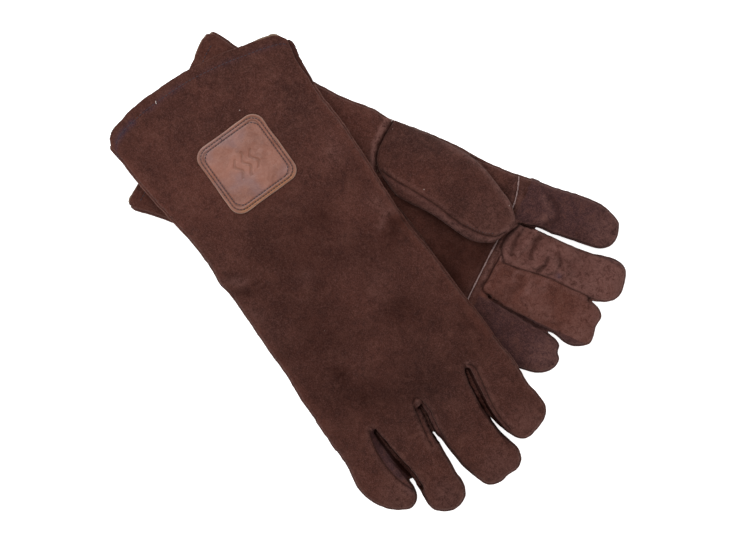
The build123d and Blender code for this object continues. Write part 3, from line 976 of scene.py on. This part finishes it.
def finger_cut(x, upper, lower, side):
    """Where two neighbouring fingers' skins are cut apart."""
    fingers = list(FINGERS[side].values())
    ax, low, _ = columns(fingers[upper][0])
    bx, _, high = columns(fingers[lower][0])
    return (np.interp(x, ax, low) + np.interp(x, bx, high)) / 2


def inner_wall(name, whole, edges, number, neighbour):
    """A wall from the edges where two fingers' skins are cut apart to half way between them."""
    used, ends = np.unique(edges, return_inverse=True)
    a, b = ends.reshape(-1, 2).T
    x = whole["flat"][used, 0]
    y = finger_cut(x, min(number, neighbour), max(number, neighbour), whole["side"])
    foot = np.column_stack([x, y, np.full(len(x), WALL_LEVEL)])
    verts = np.vstack([whole["laid"][used], laid(foot, whole["side"])])
    wall = np.column_stack([b, a, a + len(used), b + len(used)])
    # The wall's colour values, with a slight painted shade ('dark' 0.15) for lying between the fingers.
    wall_dyes_and_shade = {"seam": 30.0, "red": 0.3, "purple": 0.7, "ink": 0.0, "wear": 0.1, "dark": 0.15}
    extra = {key: np.full(len(verts), value) for key, value in wall_dyes_and_shade.items()}
    return new_mesh(name, verts, wall, {"flat": np.vstack([whole["flat"][used], foot]) * MM, **extra})


def inner_walls(whole, owner):
    """The side walls that neighbouring fingers hide from each other, seen when one of them bends."""
    side, quads, names = whole["side"], whole["quads"], list(FINGERS["left"])
    edges = np.vstack([quads[:, [n, (n + 1) % 4]] for n in range(4)])
    owners = np.tile(owner, 4)
    code = edges.min(1) * len(whole["flat"]) + edges.max(1)
    order = np.argsort(code, kind="stable")
    shared = code[order][1:] == code[order][:-1]
    one, two = order[:-1][shared], order[1:][shared]
    mine, other = np.append(one, two), np.append(two, one)
    for number, name in enumerate(names):
        for neighbour in (number - 1, number + 1):
            cut = (owners[mine] == number) & (owners[other] == neighbour) & (neighbour >= 0)
            if cut.any():
                label = f"{side}_{name}_wall_by_{names[neighbour]}"
                piece = inner_wall(label, whole, edges[mine[cut]], number, neighbour)
                finish_piece(piece, "purple_brown_suede", (), f"{side}_hand", knuckle_bend(side, name))


def glove_pieces(side):
    """Cuts a glove's skin into its lining and its leathers, and returns the skin."""
    whole = build_glove(side)
    whole["extra"].update(dyes_and_painted_light(whole))
    flat, quads = whole["flat"], whole["quads"]
    x, y, z = flat[quads].mean(1).T
    past = x > SPLIT_X
    owner = np.where(past, owners_of(x, y, side), -1)
    lined = (whole["inside"][quads].sum(1) >= 2) & ~past
    upright = np.abs(normals_of(flat, quads)[:, 2])[quads].mean(1)
    welted = (np.abs(z - MIDDLE) < WELT_HALF) & (upright < 0.75)
    back = (z > MIDDLE) == (side == "right")
    shell = ~lined & ~past
    hand = f"{side}_hand"
    for name, faces, slot, nodes in (
            ("cuff_lining", lined, "lining", ["lining"]),
            ("side_welt_strip", shell & welted, "brown_suede", ["side_welts"]),
            ("back_leather", shell & back & ~welted, "brown_suede", ["back"]),
            ("palm_leather", shell & ~back & ~welted, "brown_suede", ["palm", "finger_roots"])):
        piece = cut_out(f"{side}_{name}", whole, faces)
        finish_piece(piece, slot, [f"{side}_{node}" for node in nodes], hand)
    for number, name in enumerate(FINGERS[side]):
        mine = owner == number
        rim = mine & (np.abs(z - MIDDLE) < GUSSET_HALF) & (x > KNUCKLE_X) & (upright < 0.8)
        front_slot = "red_brown_suede" if name in ("middle", "ring") else "purple_brown_suede"
        for part, faces, slot in (("gusset", rim, "purple_brown_suede"),
                                  ("back", mine & back & ~rim, "brown_suede"),
                                  ("front", mine & ~back & ~rim, front_slot)):
            piece = cut_out(f"{side}_{name}_{part}_leather", whole, faces)
            finish_piece(piece, slot, [f"{side}_{name}_{part}"], hand, knuckle_bend(side, name))
    inner_walls(whole, owner)
    return whole


def thumb_pieces(side):
    """Makes a thumb's piece and returns its skin."""
    whole = build_thumb(side)
    extra = whole["extra"]
    x, y, _ = whole["flat"].T
    strip = smoothstep(-1, 1, thumb_distance(x, y, THUMB_FRONT))
    extra["red"] = 0.15 + 0.3 * rough(x, y, 40, 5)
    extra["purple"] = 0.2 * strip
    extra["dark"] = np.clip(0.08 + 0.06 * strip + 0.12 * rough(x, y, 30, 6), 0, 1)
    tip = 1 - smoothstep(6, 40, np.hypot(x - 272, y - 36))
    # A paler rim along the thumb's edge, and paler beside its seam: wear and painted sheen.
    rubbed_and_highlit = 0.75 * bell(thumb_distance(x, y, THUMB_WHOLE) + 2.0, 2.0) * smoothstep(190, 235, x)
    extra["wear"] = 0.3 * tip + 0.4 * bell(extra["seam"] - 2.6, 1.4) + rubbed_and_highlit
    piece = cut_out(f"{side}_thumb_leather", whole, slice(None))
    nodes = [f"{side}_thumb_{part}" for part in ("root", "front", "back", "strip")]
    finish_piece(piece, "brown_suede", nodes, f"{side}_hand", thumb_bend() if side == "left" else None)
    return whole


def top_of(whole):
    """A tree for finding a skin's upper surface."""
    return BVHTree.FromPolygons((whole["laid"] * MM).tolist(), whole["quads"].tolist())


def drop(tree, x, y, below=False):
    """The surface point and normal seen from straight above or below a point of the frame, in metres."""
    start, way = (-0.2, 1) if below else (0.2, -1)
    place, normal, _, _ = tree.ray_cast(Vector((x, y, start)), Vector((0, 0, way)))
    return place, normal


def walk(tree, side, points, spacing, below=False):
    """Evenly spaced places along a plan line, on a surface: how many come before and after each,
    its point in millimetres, its normal and its direction."""
    points = np.array(points, float)
    steps = np.hypot(*np.diff(points, axis=0).T)
    far = np.concatenate([[0], np.cumsum(steps)])
    at = np.arange(spacing / 2, far[-1], spacing)
    x, y = (np.interp(at, far, points[:, n]) for n in (0, 1))
    ahead, behind = (np.array([np.interp(at + step, far, points[:, n]) for n in (0, 1)])
                     for step in (0.5, -0.5))
    dx, dy = ahead - behind
    for number, angle in enumerate(np.arctan2(dy, dx)):
        fx, fy, _ = frame_point(x[number], y[number], 0, side)
        place, normal = drop(tree, fx, fy, below)
        if place is not None:
            yield number, len(at) - 1 - number, place / MM, normal, angle + TURNS[side]


def tube(start, rings, spokes):
    """The quads round a tube whose points come ring by ring, from a first point on."""
    quads = []
    for ring in range(rings - 1):
        for spoke in range(spokes):
            a = start + ring * spokes + spoke
            b = start + ring * spokes + (spoke + 1) % spokes
            quads.append((a, b, b + spokes, a + spokes))
    return quads


def stitches(name, tree, side, line, spacing, length, radius, sink=0.3):
    """Short round-ended stitches on a surface, along a plan line, as one piece."""
    verts, quads = [], []
    rings, spokes = 7, 6
    rng = np.random.default_rng(len(name) * 7)
    for _, _, place, normal, angle in walk(tree, side, line, spacing):
        turn = angle + rng.uniform(-0.06, 0.06)
        forward = Vector((cos(turn), sin(turn), 0))
        forward = (forward - normal * forward.dot(normal)).normalized()
        across = normal.cross(forward)
        first = len(verts)
        for ring in range(rings):
            t = -1 + 2 * ring / (rings - 1)
            size = radius * max(1 - t ** 4, 0.08) ** 0.5
            rise = (1 - sink) * radius - 0.55 * radius * t * t
            centre = place + forward * (t * length / 2) + normal * rise
            for spoke in range(spokes):
                turn = 2 * pi * spoke / spokes
                verts.append(centre + across * size * cos(turn) + normal * size * sin(turn))
        last = len(verts) - spokes
        quads += tube(first, rings, spokes)
        quads += [(first + 3, first + 2, first + 1, first), (first + 5, first + 4, first + 3, first)]
        quads += [(last, last + 1, last + 2, last + 3), (last, last + 3, last + 4, last + 5)]
    verts = np.array([tuple(v) for v in verts])
    return new_mesh(name, verts, np.array(quads), {"flat": verts * MM})


def welt_piping(tree, side):
    """The pale ridge in the palm's seam: on top of the left glove and under the right one."""
    line = spline(PALM_SEAMS[side])
    line = line[line[:, 1] > line[0, 1] + WELT_INSET]
    spokes = 10
    verts = []
    for before, after, place, normal, turn in walk(tree, side, line, 0.9, side == "right"):
        across = normal.cross(Vector((cos(turn), sin(turn), 0))).normalized()
        size = WELT_RADIUS * (1 + 0.3 * float(noise(np.array(before * 1.0), np.array(3.0), 3.0, 12)))
        size *= min(1, 0.2 + before / 3, 0.2 + after / 3)
        for spoke in range(spokes):
            a = 2 * pi * spoke / spokes
            verts.append(place + across * size * cos(a) + normal * (0.2 + size * 0.8 * sin(a)))
    rows = len(verts) // spokes
    quads = tube(0, rows, spokes)
    for end in (0, (rows - 1) * spokes):
        for n in range(1, spokes // 2):
            quads.append((end + n - 1, end + n, end + (spokes - n) % spokes, end + (spokes - n + 1) % spokes))
    verts = np.array([tuple(v) for v in verts])
    return new_mesh(f"{side}_palm_welt_piping", verts, np.array(quads), {"flat": verts * MM})


# The patch on the right cuff

PATCH_CENTRE, PATCH_SIDE, PATCH_RADIUS, PATCH_THICKNESS = (64.7, -4.4), 62.0, 10.0, 1.8
PATCH_TURN = radians(-1.1)
PATCH_THREADS = (2.5, 5.3)
PATCH_STEP = 0.5      # spacing of the patch's points
PATCH_EDGE = 0.6      # rounding of its edge


def square(du, dv):
    """Signed distance to a square's edge from the distances to its two sides."""
    return np.hypot(np.maximum(du, 0), np.maximum(dv, 0)) + np.minimum(np.maximum(du, dv), 0)


def patch_distance(u, v):
    reach = PATCH_SIDE / 2 - PATCH_RADIUS
    return square(np.abs(u) - reach, np.abs(v) - reach) - PATCH_RADIUS


def patch_place(u, v):
    """A point of the patch in the right glove's plan."""
    return (PATCH_CENTRE[0] + u * cos(PATCH_TURN) - v * sin(PATCH_TURN),
            PATCH_CENTRE[1] + u * sin(PATCH_TURN) + v * cos(PATCH_TURN))


def patch_path(inset):
    """A closed line a constant inset inside the patch's edge, in the right glove's plan."""
    radius = PATCH_RADIUS - inset * 0.3
    reach = PATCH_SIDE / 2 - inset - radius
    line = []
    for quarter, (cx, cy) in enumerate(((1, 1), (-1, 1), (-1, -1), (1, -1))):
        for step in range(9):
            a = pi / 2 * (quarter + step / 8)
            line.append(patch_place(cx * reach + radius * cos(a), cy * reach + radius * sin(a)))
    return line + line[:1]


def heat_mark(u, v):
    """A plain pressed mark: three wavy lines of rising heat. 1 in the line, 0 away from it."""
    mark = np.zeros(u.shape)
    for offset, reach in ((-7.5, 7.5), (0, 9.5), (7.5, 7.5)):
        wave = u - offset - 1.7 * np.sin(v * 2 * pi / 12)
        beyond = np.maximum(np.abs(v) - reach, 0)
        mark = np.maximum(mark, np.exp(-(np.hypot(wave * 0.82, beyond) / 0.95) ** 4))
    return mark


def make_patch(tree):
    """The square patch, lying on the right cuff, with its pressed mark and thread lines."""
    n = np.arange(-PATCH_SIDE / 2 - 2, PATCH_SIDE / 2 + 2, PATCH_STEP)
    z = np.arange(-1.5, PATCH_THICKNESS + 1.5, PATCH_STEP)
    u, v = np.meshgrid(n, n, indexing="ij")
    plan = patch_distance(u + 0.25 * noise(u, v, 9, 5), v + 0.25 * noise(u, v, 11, 6))
    up = (np.abs(z - PATCH_THICKNESS / 2) - PATCH_THICKNESS / 2 + PATCH_EDGE)[None, None, :]
    field = square(plan[:, :, None] + PATCH_EDGE, up) - PATCH_EDGE
    verts, quads = skin(field, (n[0], n[0], z[0]), PATCH_STEP)
    verts = relaxed(verts, quads, 4)
    pu, pv, pz = verts.T
    top = smoothstep(PATCH_THICKNESS * 0.5, PATCH_THICKNESS * 0.9, pz)
    mark = heat_mark(pv, pu) * top
    inset = -patch_distance(pu, pv)
    lines = top * np.maximum(*(bell(inset - thread, 0.75) for thread in PATCH_THREADS))
    puff = 0.22 * bell(inset - sum(PATCH_THREADS) / 2, 2.0) * top
    verts[:, 2] += puff - 0.42 * mark - 0.42 * lines + 0.06 * noise(pu, pv, 4, 8)
    x, y = patch_place(pu, pv)
    lying = []
    for px, py, pz in zip(x, y, verts[:, 2]):
        fx, fy, _ = frame_point(px, py, 0, "right")
        lying.append((fx / MM, fy / MM, drop(tree, fx, fy)[0].z / MM + pz - 0.5))
    edge = np.clip(0.8 * smoothstep(0.8, 0.2, inset) + 0.7 * (1 - top) * (inset < 1.5), 0, 1)
    rimmed = smoothstep(5.0, 1.6, inset) * smoothstep(0.4, 1.2, inset)
    burnt = rimmed * (0.12 + 0.8 * smoothstep(-4, 8, pu - np.abs(pv)))
    extra = {"flat": np.column_stack([x, y, verts[:, 2]]) * MM, "pressed": np.maximum(0.55 * mark, lines),
             "edge": edge, "burnt": burnt}
    return new_mesh("right_cuff_patch", np.array(lying), quads, extra)


tops = {side: top_of(glove_pieces(side)) for side in ("left", "right")}
thumb_top = top_of(thumb_pieces("left"))
thumb_pieces("right")

patch = make_patch(tops["right"])
finish_piece(patch, "patch_leather", ["right_patch"], "right_hand")
patch_top = BVHTree.FromObject(patch, bpy.context.evaluated_depsgraph_get())
for number, inset in enumerate(PATCH_THREADS):
    name = f"right_patch_thread_{number}"
    thread = stitches(name, patch_top, "right", patch_path(inset), 2.6, 2.2, 0.34, 0.4)
    finish_piece(thread, "dark_thread", ["right_patch_thread"] if number == 0 else [], "right_hand")

cross = [patch_place(inset - PATCH_SIDE / 2, -5) for inset in (2.2, 5.6)]
thread = stitches("right_patch_cross_stitch", patch_top, "right", cross, 3.4, 3.2, 0.3, 0.4)
finish_piece(thread, "dark_thread", [], "right_hand")

for side, reach in (("left", 70), ("right", 78)):
    line = [(x + HEM_INSET, y) for y, x in spline(CUFFS[side]) if abs(y) < reach]
    thread = stitches(f"{side}_hem_stitches", tops[side], side, line, 3.2, 2.6, 0.34, 0.7)
    finish_piece(thread, "hem_thread", [f"{side}_hem_thread"], f"{side}_hand")

for name, side, line, spacing, length, radius, sink in (
        ("right_hem_thread_end", "right", [(-18.6, -31.8), (-15.6, -33.2)], 3.2, 2.8, 0.34, 0.3),
        ("left_thumb_thread_end", "left", [(160.5, 70), (162.5, 75)], 5.2, 4.6, 0.3, 0.0)):
    thread = stitches(name, tops[side], side, line, spacing, length, radius, sink)
    finish_piece(thread, "hem_thread", [], f"{side}_hand", material=PALE_THREAD)

thumb_edge = [(250, 20.6), (258, 20.2), (266, 20.8), (273, 23.4)]
thread = stitches("left_thumb_edge_stitches", thumb_top, "left", thumb_edge, 2.6, 1.2, 0.24, 0.6)
finish_piece(thread, "dark_thread", [], bend=thumb_bend())

for side, top in tops.items():
    finish_piece(welt_piping(top, side), "pale_welt", [f"{side}_palm_welt"], f"{side}_hand")


# Floor, light and camera

def soft_light(name, place, size, power):
    lamp = bpy.data.lights.new(name, "AREA")
    lamp.shape = "DISK"
    lamp.size = size
    lamp.energy = power
    rig = placed(name, lamp)
    rig.location = place
    rig.rotation_euler = (Vector((0, 0, 0.02)) - Vector(place)).to_track_quat("-Z", "Y").to_euler()


def floor():
    mesh = bpy.data.meshes.new("floor")
    mesh.from_pydata([(-4, -4, 0), (4, -4, 0), (4, 4, 0), (-4, 4, 0)], [], [(0, 1, 2, 3)])
    white = {"Emission Color": (1.0, 1.0, 1.0), "Emission Strength": 0.85}
    pale = {"Base Color": (0.7, 0.7, 0.7), "Roughness": 0.9, **white}
    mesh.materials.append(Look("pale_floor").finish(pale, []))
    placed("floor", mesh)


floor()
world = bpy.data.worlds.new("studio")
world.use_nodes = True
sky = world.node_tree.nodes["Background"].inputs
sky["Color"].default_value = (1, 1, 1, 1)
sky["Strength"].default_value = 0.68
bpy.context.scene.world = world
bpy.context.scene.view_settings.view_transform = "Standard"

CAMERA_ROLL = radians(24.5)
CAMERA_HEIGHT = 1.7
FRAME_WIDTH = 0.588
VIEW_CENTRE = (0.0171, 0.0147)
soft_light("key", (-0.52, 0.34, 0.85), 0.7, 8)
soft_light("fill", (0.9, -0.8, 1.0), 1.4, 5)

lens = bpy.data.cameras.new("camera")
lens.sensor_width = 36
lens.lens = 36 * (CAMERA_HEIGHT - 0.02) / FRAME_WIDTH
lens.clip_end = 20
camera = placed("camera", lens)
camera.location = (*VIEW_CENTRE, CAMERA_HEIGHT)
camera.rotation_euler = (0, 0, CAMERA_ROLL)
bpy.context.scene.camera = camera
